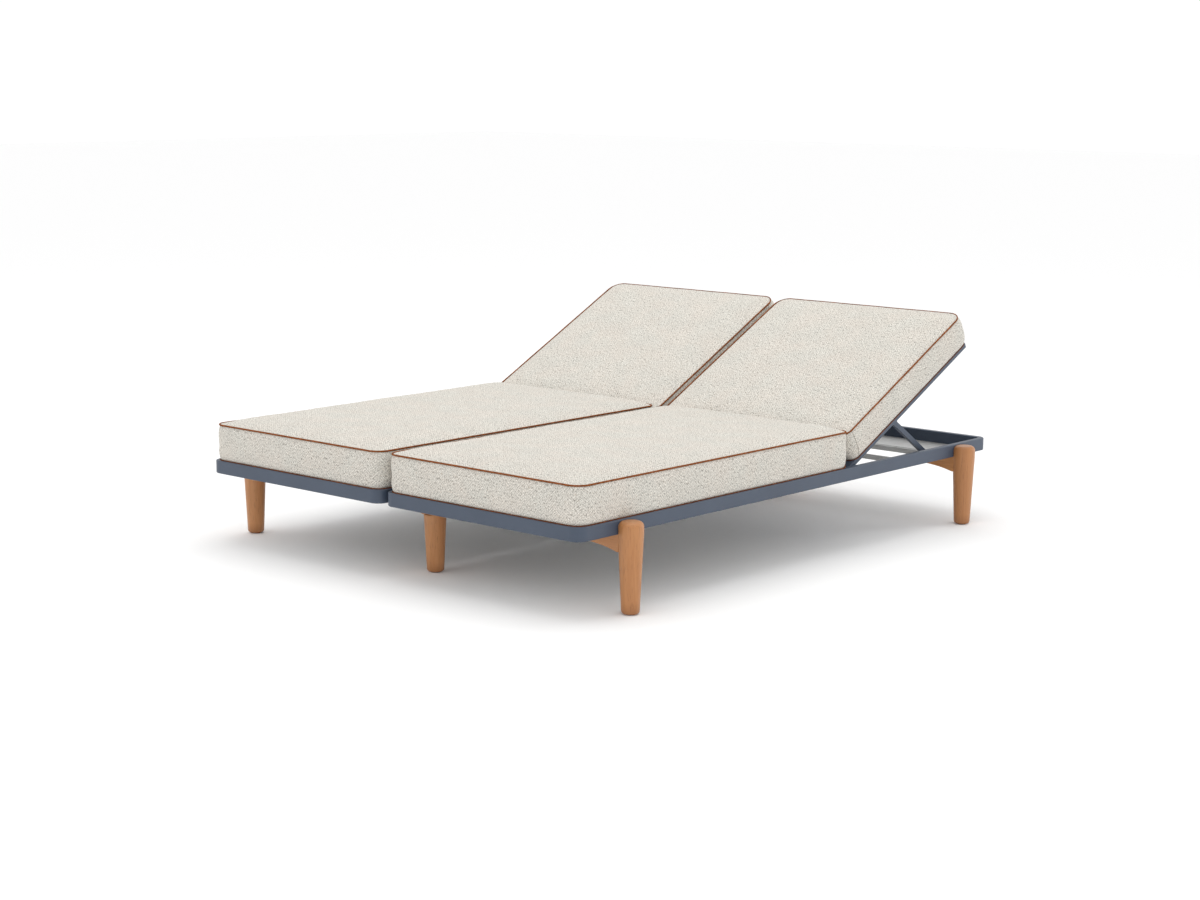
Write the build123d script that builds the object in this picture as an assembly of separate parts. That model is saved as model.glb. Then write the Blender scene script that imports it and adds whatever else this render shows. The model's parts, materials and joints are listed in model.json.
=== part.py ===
from build123d import *
import os
from math import asin, cos, degrees, radians, sin, sqrt

# Double chaise lounger: two tray frames side by side on six wooden legs, each with a seat
# cushion, a folding back with its cushion, and a bail that props the back up in notched racks.
# Millimetres. X runs across the lounger, +Y towards the head end, +Z up. The origin is on the
# floor at the middle of the outline.

os.makedirs("parts", exist_ok=True)

# Tray frames
frame_length = 2000
frame_width = 750
frame_gap = 18
rail_underside = 220
rail_height = 40
rail_width = 20
rail_wall = 2
corner_radius = 35
rail_edge_radius = 3
rail_top = rail_underside + rail_height
half_length = frame_length / 2
inner_half_width = frame_width / 2 - rail_width
inner_half_length = half_length - rail_width
frame_centre_x = (frame_gap + frame_width) / 2
outer_face_x = frame_gap / 2 + frame_width

# Legs, and the arms and saddles that they carry
leg_top_radius = 35.5
leg_foot_radius = 25
leg_below_rail_top = 4
leg_top_rounding = 15
leg_foot_rounding = 9
leg_outside_rail = 20
middle_leg_x = 29
foot_row_inset = 186
head_row_inset = 174
arm_reach = 144
saddle_reach = 165
arm_thickness = 56
arm_depth_at_leg = 48
arm_depth_at_tip = 32
arm_tip_radius = 12
arm_flat_at_leg = 8
saddle_flat_at_leg = 24
arm_curve_run = 108
arm_curve_shares = ((0.22, 0.45), (0.58, 0.92))
glide_radius = 15
glide_thickness = 4
glide_proud = 1.5
foot_row_y = foot_row_inset - half_length
head_row_y = half_length - head_row_inset
outer_leg_x = outer_face_x + leg_outside_rail
arm_underside = rail_underside - arm_depth_at_leg

# Plates that tie the frames to the arms and to each other
cross_plate_thickness = 3
link_plate_length = 80
link_plate_width = 60
link_plate_thickness = 4
link_plate_from_end = 700
link_plate_y = half_length - link_plate_from_end

# Fasteners
bolt_radius = 4
bolt_head_radius = 7
bolt_head_height = 5
bolt_in_leg = 31
bolt_above_underside = 14
saddle_bolt_length = 88
screw_radius = 2.5
screw_head_radius = 5
screw_head_height = 3
screw_length = 20
link_screw_length = 12
fastener_clearance = 0.2
arm_screws_from_rail = (60, 125)
saddle_screw_x = (75, 115)
screw_from_row = 15
bolt_z = rail_underside + bolt_above_underside

# Back frame and its hinge
hinge_from_head_end = 743
rest_angle = 27
max_angle = 45
pin_radius = 5
pin_head_radius = 7
pin_head_thickness = 3
running_clearance = 0.08
side_clearance = 0.6
bracket_length = 40
bracket_height = 32
bracket_below_rail_top = 1
back_bar_width = 25
back_bar_height = 15
back_bar_to_rail = 4
back_bar_to_head_rail = 19
back_cross_bar_width = 25
back_lower_bar_from_hinge = 16
back_slat_width = 45
back_slat_count = 7
back_slat_from_cross_bar = 25
hinge_y = half_length - hinge_from_head_end
back_half_height = back_bar_height / 2
hinge_z = rail_top - back_half_height
back_length = inner_half_length - back_bar_to_head_rail - hinge_y
back_bar_outer = inner_half_width - back_bar_to_rail
back_bar_inner = back_bar_outer - back_bar_width

# Seat deck
slat_thickness = 8
seat_slat_width = 60
seat_slat_count = 9
seat_slat_from_corner = 2
seat_slats_to_hinge = 32

# Bail: an axle under the back frame with a strut at each end
axle_below_bar = 10
axle_radius = 7
axle_past_lug = 4
lug_thickness = 5
lug_half_length = 14
lug_from_bar_edge = 1
strut_length = 243.7
axle_beyond_strut = 41.3
strut_width = 12
strut_depth = 16
strut_eye_radius = 13
strut_to_lug = 3
foot_pin_radius = 5
foot_pin_outside = 14
foot_pin_inside = 1.4
axle_from_hinge = strut_length + axle_beyond_strut
lug_inner = back_bar_inner + lug_from_bar_edge
lug_outer = lug_inner + lug_thickness
strut_outer = lug_inner - strut_to_lug
strut_inner = strut_outer - strut_width

# Notched racks in the tray, one notch for each angle at which the back can rest
notch_angles = (max_angle, 39, 33, rest_angle)
notch_radius = 5.5
foot_height = 12
rack_thickness = 4
rack_to_strut = 2
rack_floor = 2
rack_height = 20
rack_before_notches = 40
rack_past_notches = 23
tie_bar_depth = 8
tie_bar_height = 16
tie_bar_lift = 3
tie_bar_from_start = 6
tie_bar_from_end = 15
rack_outer = strut_inner - rack_to_strut
rack_inner = rack_outer - rack_thickness

# Cushions
cushion_side_inset = 9
cushion_corner_radius = 40
cushion_meeting_corner_radius = 28
cushion_bulge = 6
cushion_crown = 12
crown_inset_shares = (0.16, 0.34)
crown_rise_shares = (0.7, 1.0)
seat_cushion_height = 109
seat_cushion_foot_inset = 9
seat_cushion_to_hinge = 31
back_cushion_height = 98
back_cushion_half_width = 360
back_cushion_towards_gap = 8
back_cushion_from_hinge = 25
back_cushion_past_bars = 21
soft_clearance = 0.3
meeting_clearance = 0.5

cut_overrun = 5


def block(x0, x1, y0, y1, z0, z1):
    """A box between two corners."""
    size = Box(x1 - x0, y1 - y0, z1 - z0)
    return Pos((x0 + x1) / 2, (y0 + y1) / 2, (z0 + z1) / 2) * size


def rod_x(x0, x1, y, z, radius):
    """A round bar along X."""
    return Pos((x0 + x1) / 2, y, z) * Rot(0, 90, 0) * Cylinder(radius, x1 - x0)


def rod_z(x, y, z0, z1, radius):
    """A round bar along Z."""
    return Pos(x, y, (z0 + z1) / 2) * Cylinder(radius, z1 - z0)


def both_sides(shape):
    """The shape and its mirror image across the YZ plane."""
    return [shape, mirror(shape, Plane.YZ)]


def save(name, solids):
    """Write one node, a single solid or a group of separate ones."""
    group = solids if isinstance(solids, list) else [solids]
    shape = group[0] if len(group) == 1 else Compound(children=group)
    shape.label = name
    export_step(shape, f"parts/{name}.step")


hinge_axis = Axis((0, hinge_y, hinge_z), (1, 0, 0))
axle_y = hinge_y + axle_from_hinge
axle_z = hinge_z - back_half_height - axle_below_bar
axle_axis = Axis((0, axle_y, axle_z), (1, 0, 0))
foot_z = rail_underside + foot_height


def raised_axle(angle):
    """Where the bail's axle is, in Y and Z, with the back at an angle above the tray."""
    turn = radians(angle)
    below = axle_z - hinge_z
    y = hinge_y + axle_from_hinge * cos(turn) - below * sin(turn)
    z = hinge_z + axle_from_hinge * sin(turn) + below * cos(turn)
    return y, z


def foot_y(angle):
    """Where the struts stand in the racks with the back at an angle."""
    y, z = raised_axle(angle)
    return y + sqrt(strut_length**2 - (z - foot_z) ** 2)


strut_slope = degrees(asin((raised_axle(rest_angle)[1] - foot_z) / strut_length))
rack_start_y = foot_y(max(notch_angles)) - rack_before_notches
rack_end_y = foot_y(min(notch_angles)) + rack_past_notches


def tray_plan(inset):
    """The outline of one frame, drawn in by an inset all round."""
    size = (frame_width - 2 * inset, frame_length - 2 * inset)
    return RectangleRounded(*size, corner_radius - inset)


def tray_ring():
    """The hollow tube round one frame, with every long edge rounded but the lower inner one."""
    ring = extrude(Pos(0, 0, rail_underside) * (tray_plan(0) - tray_plan(rail_width)), rail_height)

    def stays_sharp(edge):
        middle = edge.center()
        outside = max(abs(middle.X) - inner_half_width, abs(middle.Y) - inner_half_length)
        return outside < rail_wall and middle.Z < rail_underside + rail_wall

    long_edges = ring.edges().filter_by(Axis.Z, reverse=True)
    ring = fillet([e for e in long_edges if not stays_sharp(e)], rail_edge_radius)
    hollow = tray_plan(rail_wall) - tray_plan(rail_width - rail_wall)
    return ring - extrude(Pos(0, 0, rail_underside + rail_wall) * hollow, rail_height - 2 * rail_wall)


def rails():
    """The foot and head rails with their corners, and the two side rails between them."""
    ring = tray_ring()
    end_y = half_length - corner_radius
    z0, z1 = rail_underside - cut_overrun, rail_top + cut_overrun
    foot = ring & block(-frame_width, frame_width, -frame_length, -end_y, z0, z1)
    head = ring & block(-frame_width, frame_width, end_y, frame_length, z0, z1)
    low_x_side = ring & block(-frame_width, 0, -end_y, end_y, z0, z1)
    high_x_side = ring & block(0, frame_width, -end_y, end_y, z0, z1)
    return foot, head, low_x_side, high_x_side


def cushion(half_width, y0, y1, z0, height, low_y_radius, high_y_radius):
    """A boxed cushion: sides that bulge between the two seams, and a crowned top."""

    def outline(grow, z):
        width, depth = 2 * (half_width + grow), y1 - y0 + 2 * grow
        flat = Rectangle(width, depth)
        flat = fillet(flat.vertices().group_by(Axis.Y)[0], low_y_radius)
        flat = fillet(flat.vertices().group_by(Axis.Y)[-1], high_y_radius)
        return Pos(0, (y0 + y1) / 2, z) * flat

    sides = loft([outline(0, z0), outline(cushion_bulge, z0 + height / 2), outline(0, z0 + height)])
    crown = [outline(0, z0 + height)]
    for inset_share, rise_share in zip(crown_inset_shares, crown_rise_shares):
        crown.append(outline(-half_width * inset_share, z0 + height + cushion_crown * rise_share))
    return sides + loft(crown)


def seat_cushion():
    """The seat's cushion, on the slats and the rails."""
    half_width = frame_width / 2 - cushion_side_inset
    y0, y1 = seat_cushion_foot_inset - half_length, hinge_y - seat_cushion_to_hinge
    radii = (cushion_corner_radius, cushion_meeting_corner_radius)
    return cushion(half_width, y0, y1, rail_top, seat_cushion_height, *radii)


def seat_slats():
    """Flat bars across the tray, level with the top of the rails."""
    first = corner_radius + seat_slat_from_corner - half_length
    last = hinge_y - seat_slats_to_hinge - seat_slat_width
    pitch = (last - first) / (seat_slat_count - 1)
    starts = [first + i * pitch for i in range(seat_slat_count)]
    x, z0 = inner_half_width, rail_top - slat_thickness
    return [block(-x, x, y, y + seat_slat_width, z0, rail_top) for y in starts]


def cross_plates():
    """Flat plates at the foot and the head of the tray, level with the rails' underside."""
    sheet = extrude(Pos(0, 0, rail_underside) * tray_plan(rail_width), cross_plate_thickness)
    foot = sheet & block(-frame_width, frame_width, -frame_length, foot_row_y, 0, rail_top)
    head = sheet & block(-frame_width, frame_width, head_row_y, frame_length, 0, rail_top)
    return foot, head


def rack():
    """An angle bar on the side rail. Its upright has notches for the foot of the strut."""
    z0 = rail_underside
    floor = block(rack_inner, inner_half_width, rack_start_y, rack_end_y, z0, z0 + rack_floor)
    upright = block(rack_inner, rack_outer, rack_start_y, rack_end_y, z0, z0 + rack_height)
    x0, x1 = rack_inner - cut_overrun, rack_outer + cut_overrun
    z1 = z0 + rack_height + cut_overrun
    for y in [foot_y(angle) for angle in notch_angles]:
        upright -= rod_x(x0, x1, y, foot_z, notch_radius)
        upright -= block(x0, x1, y - notch_radius, y + notch_radius, foot_z, z1)
    return floor + upright


def tie_bars():
    """Flat bars on edge from rack to rack."""
    z0 = rail_underside + tie_bar_lift
    z1 = z0 + tie_bar_height
    starts = (rack_start_y + tie_bar_from_start, rack_end_y - tie_bar_from_end)
    return [block(-rack_inner, rack_inner, y, y + tie_bar_depth, z0, z1) for y in starts]


def hinge_bracket():
    """The plate on the side rail that carries the hinge pin."""
    x0, top = back_bar_outer + side_clearance, rail_top - bracket_below_rail_top
    y0 = hinge_y - bracket_length / 2
    return block(x0, inner_half_width, y0, y0 + bracket_length, top - bracket_height, top)


def hinge_pin():
    """A headed pin from the bracket through the side bar of the back."""
    head_outer = back_bar_inner - side_clearance
    head_inner = head_outer - pin_head_thickness
    shank = rod_x(head_inner, back_bar_outer + side_clearance, hinge_y, hinge_z, pin_radius)
    return shank + rod_x(head_inner, head_outer, hinge_y, hinge_z, pin_head_radius)


def back_side_bar():
    """One side bar of the back, lying flat, with its rounded hinge end."""
    x0, x1 = back_bar_inner, back_bar_outer
    z0, z1 = hinge_z - back_half_height, hinge_z + back_half_height
    bar = block(x0, x1, hinge_y, hinge_y + back_length, z0, z1)
    bar += rod_x(x0, x1, hinge_y, hinge_z, back_half_height)
    bore_radius = pin_radius + running_clearance
    return bar - rod_x(x0 - cut_overrun, x1 + cut_overrun, hinge_y, hinge_z, bore_radius)


def back_cross_bars():
    """The bars that join the side bars near the hinge and at the head end."""
    z0, z1 = hinge_z - back_half_height, hinge_z + back_half_height
    starts = (hinge_y + back_lower_bar_from_hinge, hinge_y + back_length - back_cross_bar_width)
    return [block(-back_bar_inner, back_bar_inner, y, y + back_cross_bar_width, z0, z1) for y in starts]


def back_slats():
    """Flat bars between the cross bars, level with the upper face of the back frame."""
    first = hinge_y + back_lower_bar_from_hinge + back_cross_bar_width + back_slat_from_cross_bar
    last = hinge_y + back_length - back_cross_bar_width - back_slat_from_cross_bar - back_slat_width
    pitch = (last - first) / (back_slat_count - 1)
    starts = [first + i * pitch for i in range(back_slat_count)]
    z1 = hinge_z + back_half_height
    z0 = z1 - slat_thickness
    return [block(-back_bar_inner, back_bar_inner, y, y + back_slat_width, z0, z1) for y in starts]


def bail_lug():
    """The ear under a side bar that the bail's axle turns in."""
    top = hinge_z - back_half_height
    y0, y1 = axle_y - lug_half_length, axle_y + lug_half_length
    ear = block(lug_inner, lug_outer, y0, y1, axle_z, top)
    ear += rod_x(lug_inner, lug_outer, axle_y, axle_z, lug_half_length)
    ear -= block(lug_inner, lug_outer, y0, y1, top, rail_top)
    x0, x1 = lug_inner - cut_overrun, lug_outer + cut_overrun
    return ear - rod_x(x0, x1, axle_y, axle_z, axle_radius + running_clearance)


def strut():
    """One strut of the bail, lying flat: an eye on the axle, a bar and the foot pin."""
    end_y = axle_y + strut_length
    half_depth = strut_depth / 2
    bar = block(strut_inner, strut_outer, axle_y, end_y, axle_z - half_depth, axle_z + half_depth)
    bar += rod_x(strut_inner, strut_outer, axle_y, axle_z, strut_eye_radius)
    bar += rod_x(strut_inner, strut_outer, end_y, axle_z, half_depth)
    pin_inner, pin_outer = strut_inner - foot_pin_inside, strut_outer + foot_pin_outside
    bar += rod_x(pin_inner, pin_outer, end_y, axle_z, foot_pin_radius)
    x0, x1 = strut_inner - cut_overrun, strut_outer + cut_overrun
    return bar - rod_x(x0, x1, axle_y, axle_z, axle_radius + running_clearance)


def bail_axle():
    """The round bar that both struts hang on."""
    half = lug_outer + axle_past_lug
    return rod_x(-half, half, axle_y, axle_z, axle_radius)


def back_cushion():
    """The back's cushion, lying flat, cut off where it would reach into the seat's when fully up."""
    z0 = hinge_z + back_half_height + soft_clearance
    y0, y1 = hinge_y + back_cushion_from_hinge, hinge_y + back_length + back_cushion_past_bars
    radii = (cushion_meeting_corner_radius, cushion_corner_radius)
    pad = cushion(back_cushion_half_width, y0, y1, z0, back_cushion_height, *radii)
    seat_end = hinge_y - seat_cushion_to_hinge + cushion_bulge + meeting_clearance
    seat_space = block(-frame_width, frame_width, -frame_length, seat_end, 0, frame_length)
    return pad - seat_space.rotate(hinge_axis, -max_angle)


def raised(shape):
    """From lying flat to the resting angle of the back."""
    return shape.rotate(hinge_axis, rest_angle)


def propped(shape):
    """From folded flat under the back to the bail's resting place."""
    return raised(shape.rotate(axle_axis, -rest_angle - strut_slope))


def leg_blank(top_z, top_rounding):
    """A turned, tapered post standing at the origin, straight above the rails' underside."""
    taper = (leg_top_radius - leg_foot_radius) / rail_underside
    top_radius = leg_foot_radius + taper * min(top_z, rail_underside)
    points = [(0, glide_proud), (leg_foot_radius, glide_proud)]
    if top_z > rail_underside:
        points += [(leg_top_radius, rail_underside)]
    points += [(top_radius, top_z), (0, top_z), (0, glide_proud)]
    profile = Plane.XZ * make_face(Polyline(*points))
    edge_of_foot = [v for v in profile.vertices() if v.X > 0 and v.Z < glide_proud + leg_foot_rounding]
    profile = fillet(edge_of_foot, leg_foot_rounding)
    if top_rounding:
        edge_of_top = [v for v in profile.vertices() if v.X > 0 and v.Z > top_z - top_rounding]
        profile = fillet(edge_of_top, top_rounding)
    post = revolve(profile, Axis.Z)
    return post - rod_z(0, 0, 0, glide_thickness, glide_radius)


def outer_leg(row_y):
    """A leg on the +X side, cut flat against the rail and the end of its arm."""
    top = rail_top - leg_below_rail_top
    post = Pos(outer_leg_x, row_y, 0) * leg_blank(top, leg_top_rounding)
    x0 = outer_leg_x - leg_top_radius - cut_overrun
    y0, y1 = row_y - leg_top_radius - cut_overrun, row_y + leg_top_radius + cut_overrun
    post -= block(x0, outer_face_x, y0, y1, arm_underside, top + cut_overrun)
    hole_radius = bolt_radius + fastener_clearance
    return post - rod_x(outer_face_x, outer_face_x + bolt_in_leg, row_y, bolt_z, hole_radius)


def arm(reach, flat_at_leg):
    """An arm that runs towards -X from the origin, which is at its butt end and its top."""
    drop = arm_depth_at_leg - arm_depth_at_tip
    start = (-flat_at_leg, -arm_depth_at_leg)
    bends = [(start[0] - arm_curve_run * x, start[1] + drop * z) for x, z in arm_curve_shares]
    end = (start[0] - arm_curve_run, -arm_depth_at_tip)
    round_start = (arm_tip_radius - reach, -arm_depth_at_tip)
    round_end = (-reach, arm_tip_radius - arm_depth_at_tip)
    underside = [Bezier(start, *bends, end), Line(end, round_start)]
    tip = RadiusArc(round_start, round_end, arm_tip_radius)
    rest = Polyline(round_end, (-reach, 0), (0, 0), (0, -arm_depth_at_leg), start)
    profile = make_face(Curve() + underside + [tip, rest])
    return extrude(Plane.XZ * profile, arm_thickness / 2, both=True)


def screw_hole(x, y):
    """Where a frame screw enters an arm or a saddle."""
    tip = rail_underside + cross_plate_thickness - screw_length
    return rod_z(x, y, tip, rail_underside, screw_radius + fastener_clearance)


def screw_row_y(row_y):
    """The screws stand on the side of the leg row that the cross plate covers."""
    return row_y + (screw_from_row if row_y > 0 else -screw_from_row)


def outer_arm(row_y):
    """The arm of a +X side leg, under the frame."""
    piece = Pos(outer_face_x, row_y, rail_underside) * arm(arm_reach, arm_flat_at_leg)
    for run in arm_screws_from_rail:
        piece -= screw_hole(outer_face_x - run, screw_row_y(row_y))
    return piece


def saddle(row_y):
    """The two-armed piece on a middle leg, which carries the inner rails of both frames."""
    low_x_arm, high_x_arm = both_sides(arm(saddle_reach, saddle_flat_at_leg))
    piece = Pos(middle_leg_x, row_y, rail_underside) * (low_x_arm + high_x_arm)
    for x in saddle_screw_x:
        piece -= screw_hole(x, screw_row_y(row_y))
        piece -= screw_hole(-x, screw_row_y(row_y))
    head_z = rail_underside - bolt_head_height
    piece -= rod_z(middle_leg_x, row_y, head_z, rail_underside, bolt_head_radius + fastener_clearance)
    return piece - rod_z(middle_leg_x, row_y, arm_underside, head_z, bolt_radius + fastener_clearance)


def middle_leg(row_y):
    """A full round leg under a saddle."""
    post = Pos(middle_leg_x, row_y, 0) * leg_blank(arm_underside, 0)
    tip = rail_underside - bolt_head_height - saddle_bolt_length
    return post - rod_z(middle_leg_x, row_y, tip, arm_underside, bolt_radius + fastener_clearance)


def leg_bolt(row_y):
    """The bolt from inside the tray through a +X side rail into the leg."""
    inner_face = outer_face_x - rail_width
    shank = rod_x(inner_face, outer_face_x + bolt_in_leg, row_y, bolt_z, bolt_radius)
    return shank + rod_x(inner_face - bolt_head_height, inner_face, row_y, bolt_z, bolt_head_radius)


def saddle_bolt(row_y):
    """The bolt down through a saddle into its leg, with its head let in."""
    head_z = rail_underside - bolt_head_height
    shank = rod_z(middle_leg_x, row_y, head_z - saddle_bolt_length, head_z, bolt_radius)
    return shank + rod_z(middle_leg_x, row_y, head_z, rail_underside, bolt_head_radius)


def frame_screw(x, y):
    """A screw down through a cross plate."""
    seat = rail_underside + cross_plate_thickness
    shank = rod_z(x, y, seat - screw_length, seat, screw_radius)
    return shank + rod_z(x, y, seat, seat + screw_head_height, screw_head_radius)


def link_screw(x, y):
    """A screw up through a link plate into a rail."""
    seat = rail_underside - link_plate_thickness
    shank = rod_z(x, y, seat, seat + link_screw_length, screw_radius)
    return shank + rod_z(x, y, seat - screw_head_height, seat, screw_head_radius)


rows = {"front": foot_row_y, "rear": head_row_y}
screw_places = []
for row_y in rows.values():
    screw_y = screw_row_y(row_y)
    for side in (-1, 1):
        screw_places += [(side * (outer_face_x - run), screw_y) for run in arm_screws_from_rail]
        screw_places += [(side * x, screw_y) for x in saddle_screw_x]
inner_rail_x = (frame_gap + rail_width) / 2
link_places = [(side * inner_rail_x, end * link_plate_y) for side in (-1, 1) for end in (-1, 1)]


def screwed(plate, places):
    """A level plate with a screw hole at each place."""
    z0 = rail_underside - link_plate_thickness - cut_overrun
    z1 = rail_underside + cross_plate_thickness + cut_overrun
    for x, y in places:
        plate -= rod_z(x, y, z0, z1, screw_radius + fastener_clearance)
    return plate


def drilled_outer_rail(rail):
    """A +X side rail with the holes for its leg bolts."""
    for row_y in rows.values():
        x0, x1 = outer_face_x - rail_width - cut_overrun, outer_face_x + cut_overrun
        rail -= rod_x(x0, x1, row_y, bolt_z, bolt_radius + fastener_clearance)
    return rail


def link_plate(y):
    """A plate under the two inner rails."""
    half_width, half_depth = link_plate_width / 2, link_plate_length / 2
    z0 = rail_underside - link_plate_thickness
    plate = block(-half_width, half_width, y - half_depth, y + half_depth, z0, rail_underside)
    return screwed(plate, link_places)


foot_rail, head_rail, low_x_rail, high_x_rail = rails()
foot_plate, head_plate = cross_plates()
right_place = Pos(frame_centre_x, 0, 0)
outer_rails = both_sides(drilled_outer_rail(right_place * high_x_rail))
inner_rails = both_sides(screwed(right_place * low_x_rail, link_places))
cushion_x = frame_centre_x - back_cushion_towards_gap

for i, side_name in enumerate(("right", "left")):
    side = 1 - 2 * i
    place = Pos(side * frame_centre_x, 0, 0)
    save(f"{side_name}_foot_rail", place * foot_rail)
    save(f"{side_name}_head_rail", place * head_rail)
    save(f"{side_name}_outer_side_rail", outer_rails[i])
    save(f"{side_name}_inner_side_rail", inner_rails[i])
    save(f"{side_name}_foot_cross_plate", screwed(place * foot_plate, screw_places))
    save(f"{side_name}_head_cross_plate", screwed(place * head_plate, screw_places))
    save(f"{side_name}_seat_slats", [place * s for s in seat_slats()])
    save(f"{side_name}_racks", [place * s for s in both_sides(rack())])
    save(f"{side_name}_rack_tie_bars", [place * s for s in tie_bars()])
    save(f"{side_name}_hinge_brackets", [place * s for s in both_sides(hinge_bracket())])
    save(f"{side_name}_hinge_pins", [place * s for s in both_sides(hinge_pin())])
    save(f"{side_name}_seat_cushion", place * seat_cushion())

    side_bars, struts = both_sides(back_side_bar()), both_sides(strut())
    save(f"{side_name}_back_outer_bar", place * raised(side_bars[i]))
    save(f"{side_name}_back_inner_bar", place * raised(side_bars[1 - i]))
    save(f"{side_name}_back_cross_bars", [place * raised(s) for s in back_cross_bars()])
    save(f"{side_name}_back_slats", [place * raised(s) for s in back_slats()])
    save(f"{side_name}_bail_lugs", [place * raised(s) for s in both_sides(bail_lug())])
    save(f"{side_name}_back_cushion", Pos(side * cushion_x, 0, 0) * raised(back_cushion()))
    save(f"{side_name}_bail_axle", place * propped(bail_axle()))
    save(f"{side_name}_outer_strut", place * propped(struts[i]))
    save(f"{side_name}_inner_strut", place * propped(struts[1 - i]))

for row_name, row_y in rows.items():
    legs, arms = both_sides(outer_leg(row_y)), both_sides(outer_arm(row_y))
    for i, side_name in enumerate(("right", "left")):
        save(f"{row_name}_{side_name}_leg", legs[i])
        save(f"{row_name}_{side_name}_arm", arms[i])
    save(f"{row_name}_middle_leg", middle_leg(row_y))
    save(f"{row_name}_middle_saddle", saddle(row_y))

leg_places = [(x, row_y) for row_y in rows.values() for x in (-outer_leg_x, middle_leg_x, outer_leg_x)]
bolts = [bolt for row_y in rows.values() for bolt in both_sides(leg_bolt(row_y)) + [saddle_bolt(row_y)]]
save("foot_glides", [rod_z(x, y, 0, glide_thickness, glide_radius) for x, y in leg_places])
save("leg_bolts", bolts)
save("frame_screws", [frame_screw(x, y) for x, y in screw_places])
save("link_screws", [link_screw(x, y) for x, y in link_places])
save("frame_link_plates", [link_plate(end * link_plate_y) for end in (-1, 1)])
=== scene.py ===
import json
import math

import bpy
import numpy as np
from mathutils import Matrix, Vector


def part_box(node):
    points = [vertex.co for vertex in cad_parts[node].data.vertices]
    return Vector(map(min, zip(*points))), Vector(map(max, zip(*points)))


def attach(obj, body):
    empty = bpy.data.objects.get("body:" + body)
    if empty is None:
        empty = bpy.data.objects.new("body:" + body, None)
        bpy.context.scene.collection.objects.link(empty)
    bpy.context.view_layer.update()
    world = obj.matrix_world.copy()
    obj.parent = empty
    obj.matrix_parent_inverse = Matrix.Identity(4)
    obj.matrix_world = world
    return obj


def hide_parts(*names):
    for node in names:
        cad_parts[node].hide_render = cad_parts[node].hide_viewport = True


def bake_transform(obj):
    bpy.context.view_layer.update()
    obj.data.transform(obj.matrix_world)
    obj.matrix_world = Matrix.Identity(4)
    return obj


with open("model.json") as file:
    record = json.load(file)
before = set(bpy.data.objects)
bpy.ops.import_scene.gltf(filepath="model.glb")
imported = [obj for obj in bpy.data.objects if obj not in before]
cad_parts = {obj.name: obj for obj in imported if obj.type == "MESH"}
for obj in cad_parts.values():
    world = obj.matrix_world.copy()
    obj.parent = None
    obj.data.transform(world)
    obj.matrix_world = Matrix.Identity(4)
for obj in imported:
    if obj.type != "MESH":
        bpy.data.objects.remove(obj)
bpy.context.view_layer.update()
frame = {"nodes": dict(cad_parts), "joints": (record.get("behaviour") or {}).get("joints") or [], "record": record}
nodes = frame["nodes"]
slotOf = {part["node"]: part["material_slot"] for part in frame["record"]["subparts"]}
print("frame loaded:", len(nodes), "nodes")

# Camera at the photograph's place, found by fitting the frame's corners
view = dict(
    place=(4.5826, -5.2339, 1.4595),
    yaw=41.54,          # degrees, turned left from looking along +Y
    pitch=-9.84,
    roll=0.30,
    focal=2225.0,       # pixels of the 1200 wide picture
    pictureWidth=1200,
    sensor=36.0,
    near=0.1,
    far=100,
)


def placeCamera(view):
    yaw, pitch, roll = (math.radians(view[k]) for k in ("yaw", "pitch", "roll"))
    ahead = Vector((-math.sin(yaw) * math.cos(pitch), math.cos(yaw) * math.cos(pitch), math.sin(pitch)))
    level = Vector((math.cos(yaw), math.sin(yaw), 0))
    over = level.cross(ahead)
    side = math.cos(roll) * level + math.sin(roll) * over
    up = math.cos(roll) * over - math.sin(roll) * level
    data = bpy.data.cameras.new("camera")
    data.sensor_width = view["sensor"]
    data.lens = view["focal"] / view["pictureWidth"] * view["sensor"]
    data.clip_start, data.clip_end = view["near"], view["far"]
    eye = bpy.data.objects.new("camera", data)
    bpy.context.scene.collection.objects.link(eye)
    turn = Matrix((side, up, -ahead)).transposed().to_4x4()
    eye.matrix_world = Matrix.Translation(view["place"]) @ turn
    bpy.context.scene.camera = eye


placeCamera(view)


# Materials. Each is a chain of nodes on Object coordinates, or on the piece's own weave map.

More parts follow.
